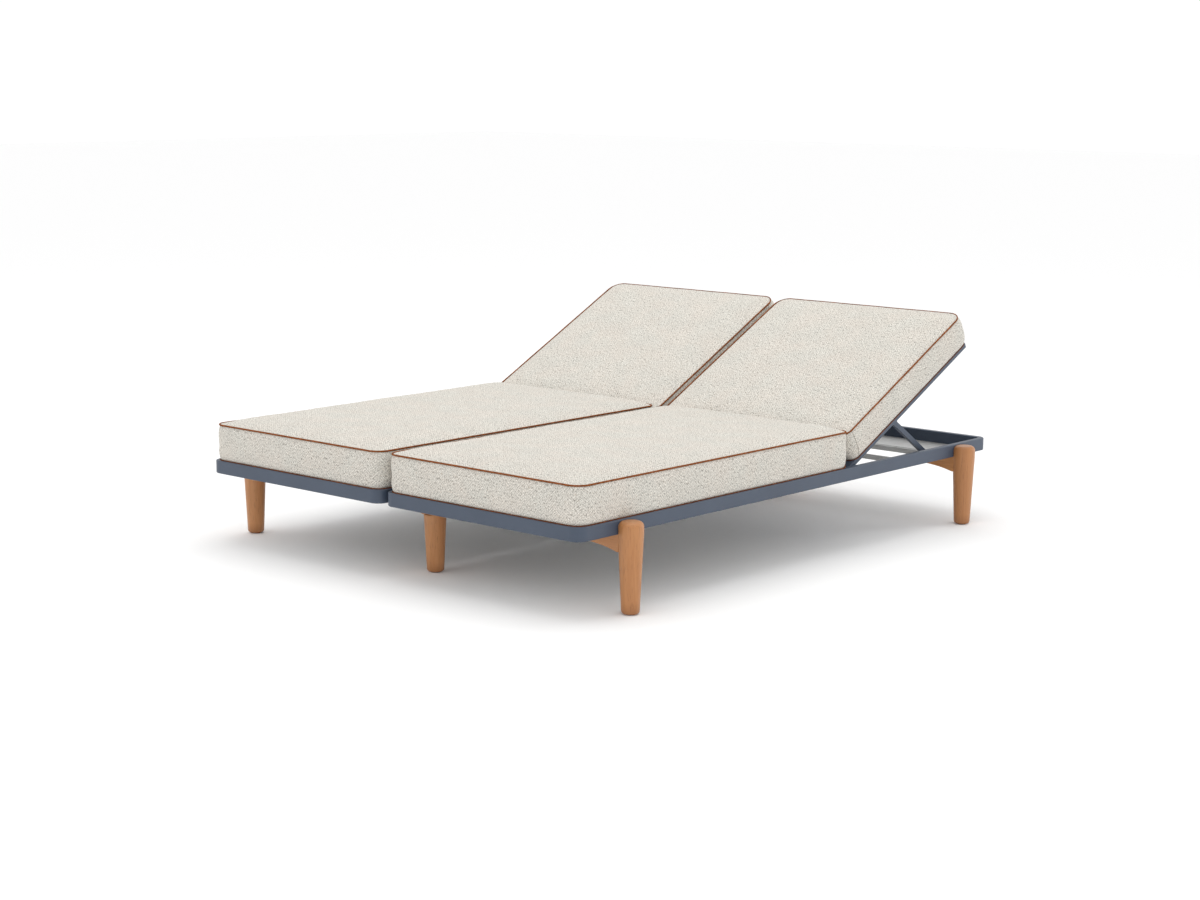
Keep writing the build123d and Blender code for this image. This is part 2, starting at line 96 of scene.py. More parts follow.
class Graph:
    # a material's node tree, with short calls for the nodes used here
    def __init__(self, name):
        self.material = bpy.data.materials.new(name)
        self.material.use_nodes = True
        self.tree = self.material.node_tree
        self.shader = self.tree.nodes["Principled BSDF"]

    def node(self, kind, inputs=(), **settings):
        made = self.tree.nodes.new(kind)
        for key, value in settings.items():
            setattr(made, key, value)
        for key, value in dict(inputs).items():
            self.feed(made.inputs[key], value)
        return made

    def feed(self, socket, value):
        if isinstance(value, bpy.types.NodeSocket):
            self.tree.links.new(value, socket)
        else:
            socket.default_value = value

    def math(self, operation, a, b=0.0):
        return self.node("ShaderNodeMath", {0: a, 1: b}, operation=operation).outputs[0]

    def ramp(self, value, low, high, start=0.0, end=1.0):
        # start..end as low..high, held at both ends
        keys = {"Value": value, "From Min": low, "From Max": high, "To Min": start, "To Max": end}
        return self.node("ShaderNodeMapRange", keys).outputs[0]

    def mix(self, share, a, b, blend="MIX"):
        made = self.node("ShaderNodeMix", data_type="RGBA", blend_type=blend)
        for index, value in ((0, share), (6, a), (7, b)):
            self.feed(made.inputs[index], value)
        return made.outputs[2]

    def mapping(self, where, **keys):
        return self.node("ShaderNodeMapping", {"Vector": where, **keys}).outputs[0]

    def vector(self, operation, *values):
        return self.node("ShaderNodeVectorMath", dict(enumerate(values)), operation=operation).outputs[0]

    def place(self, scale=(1, 1, 1)):
        # Object coordinates in metres, stretched for grain
        return self.mapping(self.node("ShaderNodeTexCoord").outputs["Object"], Scale=scale)

    def weave(self):
        # the piece's own map, in metres along its seams
        return self.node("ShaderNodeUVMap", uv_map="weave").outputs[0]

    def noise(self, where, scale, detail=2.0, roughness=0.5, distortion=0.0):
        # scale is in lumps per metre
        keys = {"Vector": where, "Scale": scale, "Detail": detail, "Roughness": roughness}
        return self.node("ShaderNodeTexNoise", {**keys, "Distortion": distortion}).outputs[0]

    def noiseColour(self, where, scale, detail):
        keys = {"Vector": where, "Scale": scale, "Detail": detail}
        return self.node("ShaderNodeTexNoise", keys).outputs["Color"]

    def wave(self, turns):
        # 0..1 and back once in each whole turn
        return self.ramp(self.math("SINE", self.math("MULTIPLY", turns, 2 * math.pi)), -1, 1)

    def grey(self, value):
        return self.node("ShaderNodeCombineColor", {0: value, 1: value, 2: value}).outputs[0]

    def bump(self, height, strength, distance):
        keys = {"Height": height, "Strength": strength, "Distance": distance}
        return self.node("ShaderNodeBump", keys).outputs[0]

    def finish(self, **sockets):
        # sockets by name with spaces left out
        names = {s.name.replace(" ", ""): s for s in self.shader.inputs}
        for key, value in sockets.items():
            self.feed(names[key], value)
        return self.material


fabric = dict(
    column=0.019,       # width of a herringbone column
    rib=0.0080,         # pitch of its slanting ribs
    crossing=0.0056,    # pitch of the threads that cut a rib into floats
    sway=0.004,         # how far the cloth strays from straight
    sways=22,           # lumps per metre: of this, then of the patches and flecks from broad to fine
    blushes=9,
    clouds=12,
    thickPlaces=150,
    warmFlecks=190,
    flecks=240,
    yarns=400,
    drawn=(1.0, 0.6, 1.0),      # fibres and flecks are drawn out along the piece
    aside=(3.1, 1.7, 0),        # moves the other patches off them
    relief=0.0010,      # height of the weave in its bump
    cream=(0.818, 0.790, 0.720, 1),
    oat=(0.478, 0.463, 0.420, 1),
    grey=(0.190, 0.178, 0.158, 1),
    warm=(0.56, 0.40, 0.27, 1),
    pink=(0.80, 0.60, 0.50, 1),
)


def oatHerringbone(spec):
    g = Graph("oatHerringbone")
    where = g.weave()
    # cloth never lies quite straight
    drift = g.vector("SUBTRACT", g.noiseColour(where, spec["sways"], 2.0), (0.5, 0.5, 0.5))
    swayed = g.vector("MULTIPLY_ADD", drift, (spec["sway"], spec["sway"], 0), where)
    parts = g.node("ShaderNodeSeparateXYZ", {0: swayed}).outputs
    across, along = parts[0], parts[1]
    # ribs climb one way in one column and the other way in the next
    fold = g.math("PINGPONG", across, spec["column"])
    rib = g.wave(g.math("DIVIDE", g.math("ADD", along, fold), spec["rib"]))
    # each rib is cut into short floats by the threads that cross it
    floats = g.wave(g.math("DIVIDE", g.math("SUBTRACT", along, fold), spec["crossing"]))
    # yarn is spun of pale and dark fibres, so it is streaked along its length
    streaked = g.mapping(where, Scale=spec["drawn"])
    aside = g.mapping(where, Location=spec["aside"])
    yarn = g.noise(streaked, spec["yarns"], 2.0, 0.7)
    fleck = g.noise(streaked, spec["flecks"], 2.0, 0.65)
    tweed = g.noise(aside, spec["thickPlaces"], 3.0, 0.8)
    cloudy = g.noise(where, spec["clouds"], 3.0, 0.6)
    blush = g.noise(aside, spec["blushes"], 2.0, 0.5)
    warmFleck = g.noise(aside, spec["warmFlecks"], 1.0)
    woven = g.math("ADD", g.math("MULTIPLY", rib, 0.7), g.math("MULTIPLY", floats, 0.3))
    colour = g.mix(g.ramp(yarn, 0.38, 0.62), spec["oat"], spec["cream"])
    colour = g.mix(g.ramp(fleck, 0.555, 0.665, 0.0, 0.92), colour, spec["grey"])
    colour = g.mix(g.ramp(warmFleck, 0.64, 0.76, 0.0, 0.42), colour, spec["warm"])
    colour = g.mix(g.ramp(blush, 0.38, 0.64, 0.0, 0.10), colour, spec["pink"])
    # the valleys between ribs are shaded, and the cloth is unevenly thick
    uneven = g.math("MULTIPLY", g.ramp(tweed, 0.32, 0.68, 0.84, 1.15), g.ramp(cloudy, 0.3, 0.7, 0.965, 1.03))
    shade = g.math("MULTIPLY", uneven, g.ramp(woven, 0.0, 1.0, 0.80, 1.14))
    colour = g.mix(1.0, colour, g.grey(shade), "MULTIPLY")
    height = g.math("ADD", woven, g.math("MULTIPLY", yarn, 0.7))
    return g.finish(BaseColor=colour, Roughness=g.ramp(yarn, 0.3, 0.7, 0.98, 0.86),
                    Normal=g.bump(height, 0.65, spec["relief"]), SheenWeight=0.06, SheenRoughness=0.5,
                    IOR=1.45, SpecularIORLevel=0.2)


# A piping's map is marked across its length: raised by the first on lower cords, which are given painted shade,
# the second on corner seams
shadedCordMark = 1.0
seamMark = 2.0

cordCover = dict(
    lit=(0.360, 0.105, 0.020, 1),
    deep=(0.078, 0.021, 0.006, 1),
    # colour of the lower cords: painted shade
    low=(0.090, 0.032, 0.016, 1),
    thread=(0.330, 0.285, 0.235, 1),
    pale=(0.46, 0.17, 0.058, 1),
    twist=0.0026,       # pitch of the bias-cut weave
    blotches=70,        # lumps per metre
    grains=900,
    relief=0.0005,
)


def rustPiping(spec):
    g = Graph("rustPiping")
    where = g.weave()
    parts = g.node("ShaderNodeSeparateXYZ", {0: where}).outputs
    rib = g.wave(g.math("DIVIDE", g.math("ADD", parts[0], parts[1]), spec["twist"]))
    uneven = g.noise(where, spec["blotches"], 3.0, 0.7)
    grain = g.noise(where, spec["grains"], 2.0, 0.6)
    # the twist's ribs are painted lit on their ridges and deep between them, a painted highlight and painted
    # shade; random blotches also shift the tone between the two
    share = g.math("ADD", g.math("MULTIPLY", g.ramp(uneven, 0.36, 0.64), 0.62), g.math("MULTIPLY", rib, 0.38))
    colour = g.mix(share, spec["deep"], spec["lit"])
    colour = g.mix(g.ramp(grain, 0.55, 0.75, 0.0, 0.25), colour, spec["pale"])
    # painted shade: the lower cords are painted darker, for the shadow where the cushion meets the frame, with the
    # rust colour showing through in flecks
    shadedLowCord = g.math("GREATER_THAN", parts[1], shadedCordMark / 2)
    colour = g.mix(g.math("MULTIPLY", shadedLowCord, g.ramp(uneven, 0.42, 0.66, 0.80, 0.25)), colour, spec["low"])
    seam = g.math("GREATER_THAN", parts[1], (shadedCordMark + seamMark) / 2)
    # the corner seams are sewn threads, coloured dark to paint the shade in the seam's crease
    colour = g.mix(seam, colour, spec["thread"])
    height = g.math("ADD", rib, g.math("MULTIPLY", grain, 0.6))
    return g.finish(BaseColor=colour, Roughness=g.ramp(grain, 0.3, 0.7, 0.78, 0.95),
                    Normal=g.bump(height, 0.5, spec["relief"]), SpecularIORLevel=0.2)


paint = dict(
    colour=(0.047, 0.068, 0.105, 1),
    pale=(0.061, 0.082, 0.122, 1),
    dark=(0.041, 0.058, 0.091, 1),
    peel=1100,          # bumps per metre of the powder coat's orange peel
    specks=2600,
    patches=5,
    relief=0.00035,
)


def slatePaint(spec):
    g = Graph("slatePaint")
    where = g.place()
    broad = g.noise(where, spec["patches"], 3.0, 0.6)
    peel = g.noise(where, spec["peel"], 1.0, 0.4)
    speck = g.noise(where, spec["specks"], 1.0, 0.5)
    colour = g.mix(g.ramp(broad, 0.3, 0.7), spec["dark"], spec["pale"])
    colour = g.mix(g.ramp(speck, 0.40, 0.62, 0.55, 0.0), colour, spec["colour"])
    rough = g.math("ADD", g.ramp(broad, 0.3, 0.7, 0.40, 0.47), g.math("MULTIPLY", speck, 0.08))
    return g.finish(BaseColor=colour, Roughness=rough, Normal=g.bump(peel, 0.28, spec["relief"]),
                    CoatWeight=0.08, CoatRoughness=0.35, IOR=1.5)


wood = dict(
    light=(0.505, 0.225, 0.078, 1),
    middle=(0.420, 0.172, 0.054, 1),
    dark=(0.270, 0.100, 0.030, 1),
    pore=(0.150, 0.055, 0.020, 1),
    stretch=0.055,      # scale along the grain of the rings
    streak=0.028,       # the same of the fibres and pores
    rings=26,           # lumps per metre across the grain
    bands=34,           # how densely dark bands follow the rings
    fibres=300,
    pores=620,
    patches=7,
    footLow=0.012,      # the wood is darker towards the foot, fading out between these heights
    footHigh=0.034,
    relief=0.0004,
)


def grainScale(axis, share):
    # draws a pattern out along one axis
    return tuple(share if i == axis else 1 for i in range(3))


def oiledWood(spec, name, axis):
    # axis is the one that the grain follows
    g = Graph(name)
    where = g.place(scale=grainScale(axis, spec["stretch"]))
    fine = g.place(scale=grainScale(axis, spec["streak"]))
    rings = g.noise(where, spec["rings"], 3.0, 0.55, 0.9)
    bands = g.ramp(g.math("SINE", g.math("MULTIPLY", rings, spec["bands"])), -1, 1)
    fibre = g.noise(fine, spec["fibres"], 3.0, 0.65)
    pores = g.noise(fine, spec["pores"], 2.0, 0.5)
    broad = g.noise(where, spec["patches"], 2.0, 0.5)
    colour = g.mix(g.math("MULTIPLY", bands, 0.55), spec["light"], spec["middle"])
    colour = g.mix(g.ramp(broad, 0.42, 0.68, 0.0, 0.38), colour, spec["dark"])
    colour = g.mix(g.ramp(fibre, 0.36, 0.66, 0.0, 0.34), colour, spec["middle"])
    colour = g.mix(g.ramp(pores, 0.62, 0.72, 0.0, 0.6), colour, spec["pore"])
    # the wood is darker round the foot
    aboveFloor = g.node("ShaderNodeSeparateXYZ", {0: g.place()}).outputs[2]
    darkerNearFoot = g.ramp(aboveFloor, spec["footLow"], spec["footHigh"], 0.5, 0.0)
    colour = g.mix(darkerNearFoot, colour, spec["dark"])
    rough = g.math("ADD", g.ramp(fibre, 0.3, 0.7, 0.42, 0.58), g.math("MULTIPLY", bands, 0.05))
    height = g.math("SUBTRACT", g.math("MULTIPLY", fibre, 0.5), g.ramp(pores, 0.60, 0.74))
    return g.finish(BaseColor=colour, Roughness=rough, Normal=g.bump(height, 0.30, spec["relief"]),
                    CoatWeight=0.30, CoatRoughness=0.28, IOR=1.48)


plate = dict(
    groove=(0.50, 0.505, 0.50, 1),
    ridge=(0.70, 0.70, 0.69, 1),
    dull=(0.40, 0.395, 0.375, 1),
    lines=1500,         # brush marks per metre, drawn out along the plate
    stretch=0.02,
    patches=11,
    relief=0.0002,
)


def brushedPlate(spec):
    g = Graph("brushedPlate")
    lines = g.noise(g.place(scale=grainScale(0, spec["stretch"])), spec["lines"], 2.0, 0.6)
    broad = g.noise(g.place(), spec["patches"], 3.0, 0.6)
    colour = g.mix(g.ramp(lines, 0.3, 0.7), spec["groove"], spec["ridge"])
    colour = g.mix(g.ramp(broad, 0.4, 0.75, 0.0, 0.4), colour, spec["dull"])
    rough = g.math("ADD", g.ramp(lines, 0.3, 0.7, 0.36, 0.5), g.math("MULTIPLY", broad, 0.12))
    return g.finish(BaseColor=colour, Roughness=rough, Metallic=0.85,
                    Normal=g.bump(lines, 0.15, spec["relief"]))


steel = dict(
    hazy=(0.46, 0.465, 0.47, 1),
    bright=(0.62, 0.62, 0.61, 1),
    marks=1800,         # tool marks per metre
    hazes=60,
    relief=0.0002,
)


def turnedSteel(spec):
    g = Graph("turnedSteel")
    where = g.place()
    marks = g.noise(where, spec["marks"], 2.0, 0.6)
    haze = g.noise(where, spec["hazes"], 2.0, 0.5)
    colour = g.mix(g.ramp(haze, 0.3, 0.7), spec["hazy"], spec["bright"])
    return g.finish(BaseColor=colour, Roughness=g.ramp(marks, 0.3, 0.7, 0.24, 0.42), Metallic=1.0,
                    Normal=g.bump(marks, 0.12, spec["relief"]))


glide = dict(
    dark=(0.022, 0.022, 0.023, 1),
    pale=(0.040, 0.040, 0.041, 1),
    grains=1600,        # grains per metre
    relief=0.0002,
)


def blackGlide(spec):
    g = Graph("blackGlide")
    grain = g.noise(g.place(), spec["grains"], 2.0, 0.6)
    colour = g.mix(g.ramp(grain, 0.35, 0.65), spec["dark"], spec["pale"])
    return g.finish(BaseColor=colour, Roughness=g.ramp(grain, 0.3, 0.7, 0.5, 0.7),
                    Normal=g.bump(grain, 0.3, spec["relief"]))


clothFinish = oatHerringbone(fabric)
pipingFinish = rustPiping(cordCover)
uprightWood = oiledWood(wood, "oiledWoodUpright", axis=2)
levelWood = oiledWood(wood, "oiledWoodLevel", axis=0)
finishes = dict(
    frame_paint=slatePaint(paint),
    plate_metal=brushedPlate(plate),
    leg_wood=uprightWood,
    cushion_fabric=clothFinish,
    fastener_steel=turnedSteel(steel),
    glide_plastic=blackGlide(glide),
)
for name, node in nodes.items():
    lying = name.endswith(("_arm", "_saddle"))
    chosen = levelWood if lying else finishes[slotOf[name]]
    node.data.materials.clear()
    node.data.materials.append(chosen)
print("materials on the frame's nodes")


# Cushions. Each is a box cushion worked out on one closed grid, in its own flat frame with x across,
# y along and z up from its underside, then blown up a little as cloth between its seams.

seatCushion = dict(
    name="seat_cushion",
    width=0.732,
    length=1.217,
    height=0.109,
    lowRadius=0.039,    # plan corners at the foot end
    highRadius=0.028,   # plan corners at the end that meets the back
    crown=0.014,
    crownReach=0.034,   # how far from the seam the crown has mostly risen
    meetReach=0.013,    # the same at the end that meets the other cushion, pushed up by it
    bulge=0.0055,
    endBulge=0.003,     # bulge of the end at +Y of the flat cushion
    endLift=0.012,      # the underside's seam turns up at the meeting end
    liftReach=0.034,
    step=0.0105,        # grid spacing
    swell=0.0045,       # cap on how far a point may blow outwards
    endThinning=0.0,    # how much of its radius the piping loses round the end at +Y
    lowThickness=0.9,   # share of its radius that it keeps along the lower seam
    cornerSeams=(),
    seed=3,
)
backCushion = dict(
    name="back_cushion",
    width=0.723,
    length=0.700,
    height=0.0968,
    lowRadius=0.026,
    highRadius=0.044,
    crown=0.013,
    crownReach=0.036,
    meetReach=0.036,
    bulge=0.006,
    endBulge=0.0105,
    endLift=0.0,
    liftReach=0.03,
    step=0.0100,
    swell=0.0045,
    endThinning=0.45,
    lowThickness=0.62,
    cornerSeams=(-1, 1),    # sides with a sewn seam down their low corner
    seed=11,
)
piping = dict(
    radius=0.0025,
    sides=10,
    step=0.005,         # spacing of the cord's rings
    proud=0.0010,       # how far its centre stands out from the seam
    drift=0.0003,       # how far it wanders in and out, as a sewn cord does
    driftTurns=31,      # radians of that in a metre
)
cornerSeam = dict(
    radius=0.0007,
    proud=0.0002,
)
panelShift = 2.0        # metres from the band's map to the top panel's, and on to the underside's


def sidePoints(spec, index, share):
    # One side of the rounded rectangle, from the middle of one corner's arc to the middle of the next,
    # at shares of its length: half an arc, a straight run, half an arc. Gives points and outward normals.
    halfWidth, halfLength = spec["width"] / 2, spec["length"] / 2
    radii = [spec["lowRadius"], spec["lowRadius"], spec["highRadius"], spec["highRadius"]]
    signs = [(-1, -1), (1, -1), (1, 1), (-1, 1)]
    first, last = index, (index + 1) % 4
    r0, r1 = radii[first], radii[last]
    c0 = np.array([signs[first][0] * (halfWidth - r0), signs[first][1] * (halfLength - r0)])
    c1 = np.array([signs[last][0] * (halfWidth - r1), signs[last][1] * (halfLength - r1)])
    facing = (index - 1) * math.pi / 2
    straight = np.array([math.cos(facing + math.pi / 2), math.sin(facing + math.pi / 2)])
    run = float((c1 - c0) @ straight)
    arc0, arc1 = r0 * math.pi / 4, r1 * math.pi / 4
    s = np.asarray(share) * (arc0 + run + arc1)
    inFirst, inLast = s < arc0, s > arc0 + run
    turned = np.where(inFirst, (s - arc0) / r0, np.where(inLast, (s - arc0 - run) / r1, 0))
    angle = facing + turned
    normal = np.stack([np.cos(angle), np.sin(angle)], -1)
    centre = np.where(inLast[..., None], c1, c0 + straight * np.clip(s - arc0, 0, run)[..., None])
    return centre + normal * np.where(inLast, r1, r0)[..., None], normal, s


def outline(spec, counts):
    # the whole outline as a closed loop, with counts of steps on its four sides
    points, normals, lengths, before = [], [], [], 0.0
    for index, count in enumerate(counts):
        p, n, s = sidePoints(spec, index, np.arange(count + 1) / count)
        points.append(p[:-1])
        normals.append(n[:-1])
        lengths.append(before + s[:-1])
        before += s[-1]
    return np.concatenate(points), np.concatenate(normals), np.concatenate(lengths), before


def seamHeights(spec, y):
    # The lower seam turns up at the meeting end, by its lift times the square of how near that end it is.
    # The upper seam is level.
    near = np.clip(1 - (spec["length"] / 2 - y) / spec["liftReach"], 0, 1)
    return spec["endLift"] * near * near, np.full_like(y, spec["height"])


def quads(ids):
    # faces between the neighbours in a grid of point numbers
    return np.stack([ids[:-1, :-1], ids[1:, :-1], ids[1:, 1:], ids[:-1, 1:]], -1).reshape(-1, 4)


def quadMaps(across, along):
    # the map corners of the same faces, from a grid for each of the map's coordinates
    grid = np.stack([across, along], -1)
    return np.stack([grid[:-1, :-1], grid[1:, :-1], grid[1:, 1:], grid[:-1, 1:]], 2).reshape(-1, 4, 2)


def fourSides(loop, nx, ny):
    # a closed loop cut at a panel's corners, each side in the order of rising x or y
    closed = np.concatenate([loop, loop[:1]])
    south, east = closed[: nx + 1], closed[nx: nx + ny + 1]
    north, west = closed[nx + ny: 2 * nx + ny + 1][::-1], closed[2 * nx + ny:][::-1]
    return south, east, north, west


def coonsPatch(loop, nx, ny):
    # Each point is the blend of the four sides less the blend of the four corners.
    south, east, north, west = fourSides(loop, nx, ny)
    u, v = np.meshgrid(np.arange(nx + 1) / nx, np.arange(ny + 1) / ny, indexing="ij")
    u, v = u[..., None], v[..., None]
    blend = south[:, None] * (1 - v) + north[:, None] * v + west[None] * (1 - u) + east[None] * u
    corners = (south[0] * ((1 - u) * (1 - v)) + south[-1] * (u * (1 - v))
               + north[0] * ((1 - u) * v) + north[-1] * (u * v))
    return blend - corners


def boxGrid(spec):
    # Two panels and the band between their seams, as one closed grid
    nx = round(spec["width"] / spec["step"])
    ny = round(spec["length"] / spec["step"])
    nz = round(spec["height"] / spec["step"])
    spec["counts"] = (nx, ny, nx, ny)       # kept for the corner seams
    loop, normals, lengths, total = outline(spec, spec["counts"])
    count = len(loop)
    flat = coonsPatch(loop, nx, ny)
    x, y = flat[..., 0], flat[..., 1]
    # crown: height times (1 - e^(-distance/reach)) across and along, a smooth pillow top
    reach = spec["crownReach"]
    fromSide = np.clip(spec["width"] / 2 - np.abs(x), 0, None)
    fromEnd = np.clip(spec["length"] / 2 - np.abs(y), 0, None)
    endReach = np.where(y > 0, spec["meetReach"], reach)
    rise = (1 - np.exp(-fromSide / reach)) * (1 - np.exp(-fromEnd / endReach))
    low, high = seamHeights(spec, y)
    top = np.stack([x, y, high + spec["crown"] * rise], -1)
    under = np.stack([x, y, low * (1 - rise) ** 2], -1)
    # side band: the outline let out by bulge times 1 - (2t - 1)^4 from the lower seam to the upper
    t = (np.arange(nz + 1) / nz)[:, None]
    lowEdge, highEdge = seamHeights(spec, loop[:, 1])
    most = spec["bulge"] + (spec["endBulge"] - spec["bulge"]) * np.clip(normals[:, 1], 0, 1)
    out = most * (1 - (2 * t - 1) ** 4)
    band = np.empty((nz + 1, count, 3))
    band[..., :2] = loop[None] + normals[None] * out[..., None]
    band[..., 2] = lowEdge + (highEdge - lowEdge) * t
    # number the points: band first, then the insides of the two panels
    bandIds = np.arange((nz + 1) * count).reshape(nz + 1, count)
    inner = (nx - 1) * (ny - 1)

    def panelIds(level, first):
        ids = np.empty((nx + 1, ny + 1), int)
        ids[:, 0], ids[-1, :], ids[:, -1], ids[0, :] = fourSides(bandIds[level], nx, ny)
        ids[1:-1, 1:-1] = first + np.arange(inner).reshape(nx - 1, ny - 1)
        return ids

    topIds = panelIds(nz, bandIds.size)
    underIds = panelIds(0, bandIds.size + inner)
    insides = [panel[1:-1, 1:-1].reshape(-1, 3) for panel in (top, under)]
    points = np.concatenate([band.reshape(-1, 3), *insides])
    # faces and maps of the band, the top panel and the underside, which is turned over
    wrapped = np.concatenate([bandIds, bandIds[:, :1]], 1)
    around = np.broadcast_to(np.r_[lengths, total], (nz + 1, count + 1))
    climb = np.broadcast_to(t * spec["height"], (nz + 1, count + 1))
    faces = np.concatenate([quads(wrapped.T), quads(topIds), quads(underIds)[:, ::-1]])
    topMaps = quadMaps(x, y + panelShift)
    underMaps = quadMaps(x, y + 2 * panelShift)[:, ::-1]
    maps = np.concatenate([quadMaps(around.T, climb.T), topMaps, underMaps])
    # how far each point may follow the cloth: not at all on the seams and the underside
    give = np.zeros(len(points))
    give[topIds.ravel()] = rise.ravel()
    give[bandIds] = np.sqrt(np.sin(math.pi * t))
    give[bandIds[0]] = give[bandIds[-1]] = 0
    return points, faces, maps, give, bandIds


def meshPiece(name, points, faces, maps, finish):
    mesh = bpy.data.meshes.new(name)
    mesh.from_pydata(points.tolist(), [], faces.tolist())
    layer = mesh.uv_layers.new(name="weave")
    layer.data.foreach_set("uv", np.ascontiguousarray(maps, np.float32).ravel())
    mesh.polygons.foreach_set("use_smooth", np.ones(len(faces), bool))
    mesh.materials.append(finish)
    mesh.update()
    piece = bpy.data.objects.new(name, mesh)
    bpy.context.scene.collection.objects.link(piece)
    return piece


blowing = dict(
    steps=20,           # frames of the simulation
    quality=5,
    mass=0.25,
    stretch=18,         # stiffness against stretching and squeezing
    shear=6,
    bending=1.5,
    pressure=4,
    spare=0.012,        # spare share of cloth, so that it ripples beside the seams
)


def blownUp(spec, points, faces, give):
    # Cloth with pressure and no gravity, its seams and underside held, its swelling capped softly
    mesh = bpy.data.meshes.new("blow")
    mesh.from_pydata(points.tolist(), [], faces.tolist())
    body = bpy.data.objects.new("blow", mesh)
    bpy.context.scene.collection.objects.link(body)
    group = body.vertex_groups.new(name="held")
    group.add(np.flatnonzero(give == 0).tolist(), 1.0, "REPLACE")
    cloth = body.modifiers.new("cloth", "CLOTH")
    settings = cloth.settings
    settings.quality = blowing["quality"]
    settings.mass = blowing["mass"]
    settings.tension_stiffness = settings.compression_stiffness = blowing["stretch"]
    settings.shear_stiffness = blowing["shear"]
    settings.bending_stiffness = blowing["bending"]
    settings.use_pressure = True
    settings.uniform_pressure_force = blowing["pressure"]
    settings.shrink_min = -blowing["spare"]
    settings.vertex_group_mass = "held"
    settings.effector_weights.gravity = 0
    cloth.point_cache.frame_start, cloth.point_cache.frame_end = 1, blowing["steps"]
    scene = bpy.context.scene
    for step in range(1, blowing["steps"] + 1):
        scene.frame_set(step)
    swollen = body.evaluated_get(bpy.context.evaluated_depsgraph_get()).to_mesh()
    after = np.empty(len(points) * 3)
    swollen.vertices.foreach_get("co", after)
    move = after.reshape(-1, 3) - points
    far = np.linalg.norm(move, axis=1, keepdims=True)
    bpy.data.objects.remove(body)
    scene.frame_set(1)
    print(spec["name"], "blown up: most", round(float(far.max()) * 1000, 1), "mm before the cap")
    capped = move * np.tanh(far / spec["swell"]) * spec["swell"] / np.maximum(far, 1e-9)
    moved = points + capped * give[:, None]
    # nothing that gives may sink past the lower seam
    floor = np.where(give > 0, seamHeights(spec, points[:, 1])[0], -1)
    moved[:, 2] = np.maximum(moved[:, 2], floor)
    return moved


waves = dict(
    count=4,
    quickness=(9, 9, 14),   # radians in a metre along x, y and z
    height=0.0003,
    lean=(0.3, 0.3, 1.0),   # how a point's shift shares out to x, y and z
)


def waviness(spec, points, give):
    # Slow uneven waves, about a millimetre at most: a sum of sines with seeded directions and phases
    random = np.random.default_rng(spec["seed"])
    way = random.normal(size=(waves["count"], 3)) * np.array(waves["quickness"])
    phase = random.uniform(0, 2 * math.pi, waves["count"])
    height = np.sin(points @ way.T + phase).sum(1) * waves["height"]
    return (height * give)[:, None] * np.array(waves["lean"])


def loopTube(path, normals, lengths, total, radius, sides):
    # A closed tube: round each path point, radius times (cos a) along its normal plus (sin a) upwards
    count = len(path)
    angle = np.arange(sides) / sides * 2 * math.pi
    sideways = np.concatenate([normals, np.zeros((count, 1))], 1)
    spokes = (np.cos(angle)[None, :, None] * sideways[:, None]
              + np.sin(angle)[None, :, None] * np.array([0, 0, 1.0]))
    rings = path[:, None] + radius[:, None, None] * spokes
    ids = np.arange(count * sides).reshape(count, sides)
    ids = np.concatenate([ids, ids[:1]])
    ids = np.concatenate([ids, ids[:, :1]], 1)
    along = np.broadcast_to(np.r_[lengths, total][:, None], ids.shape)
    turn = np.broadcast_to(np.arange(sides + 1) / sides * 2 * math.pi * piping["radius"], ids.shape)
    return rings.reshape(-1, 3), quads(ids), quadMaps(along, turn)


def seamTube(points, column, normal):
    # a thin square-sectioned thread down one column of the side band, its ends closed
    across = np.array([-normal[1], normal[0], 0])
    outward = np.array([normal[0], normal[1], 0])
    path = points[column] + outward * cornerSeam["proud"]
    corners = cornerSeam["radius"] * np.array([outward, across, -outward, -across])
    rings = path[:, None] + corners[None]
    ids = np.arange(len(path) * 4).reshape(-1, 4)
    turned = np.roll(ids, -1, axis=1)
    sides = np.stack([ids[:-1], turned[:-1], turned[1:], ids[1:]], -1).reshape(-1, 4)
    faces = np.concatenate([sides, ids[:1, ::-1], ids[-1:]])
    maps = np.full((len(faces), 4, 2), seamMark)
    return rings.reshape(-1, 3), faces, maps


def pipingLoops(spec, points, bandIds):
    # one cord round the upper seam, one round the lower and the seams down the corners, as a single piece
    counts = [max(4, round(side / piping["step"])) for side in (spec["width"], spec["length"]) * 2]
    loop, normals, lengths, total = outline(spec, counts)
    heights = seamHeights(spec, loop[:, 1])
    meshes = []
    # the cord is drawn in thin round the far end and along the underside
    thick = 1 - spec["endThinning"] * np.clip(normals[:, 1], 0, 1)
    for level, z in enumerate(heights):
        radius = piping["radius"] * (thick if level else np.full_like(thick, spec["lowThickness"]))
        drift = piping["drift"] * np.sin(lengths * piping["driftTurns"] + spec["seed"])
        path = np.column_stack([loop + normals * (piping["proud"] * thick + drift)[:, None], z])
        rings, faces, maps = loopTube(path, normals, lengths, total, radius, piping["sides"])
        meshes.append((rings, faces, maps + np.array([0, 0 if level else shadedCordMark])))
    bandLoop, bandNormals = outline(spec, spec["counts"])[:2]
    for x in spec["cornerSeams"]:
        target = np.array([x * spec["width"] / 2, spec["lowRadius"] - spec["length"] / 2])
        nearest = np.linalg.norm(bandLoop - target, axis=1).argmin()
        meshes.append(seamTube(points, bandIds[:, nearest], bandNormals[nearest]))
    firsts = np.cumsum([0] + [len(mesh[0]) for mesh in meshes[:-1]])
    joined = [(rings, faces + first, maps) for (rings, faces, maps), first in zip(meshes, firsts)]
    return [np.concatenate(part) for part in zip(*joined)]


hingeJoint = next(j for j in frame["joints"] if j["name"] == "right_back_recline")
backPlace = dict(
    hinge=tuple(hingeJoint["pos_m"][1:]),
    angle=27.0,         # degrees of the back above level, as photographed
    fromHinge=0.025,    # the cushion's low end and underside, measured in the back's own plane
    aboveHinge=0.0078,
    centreX=0.37525,
)


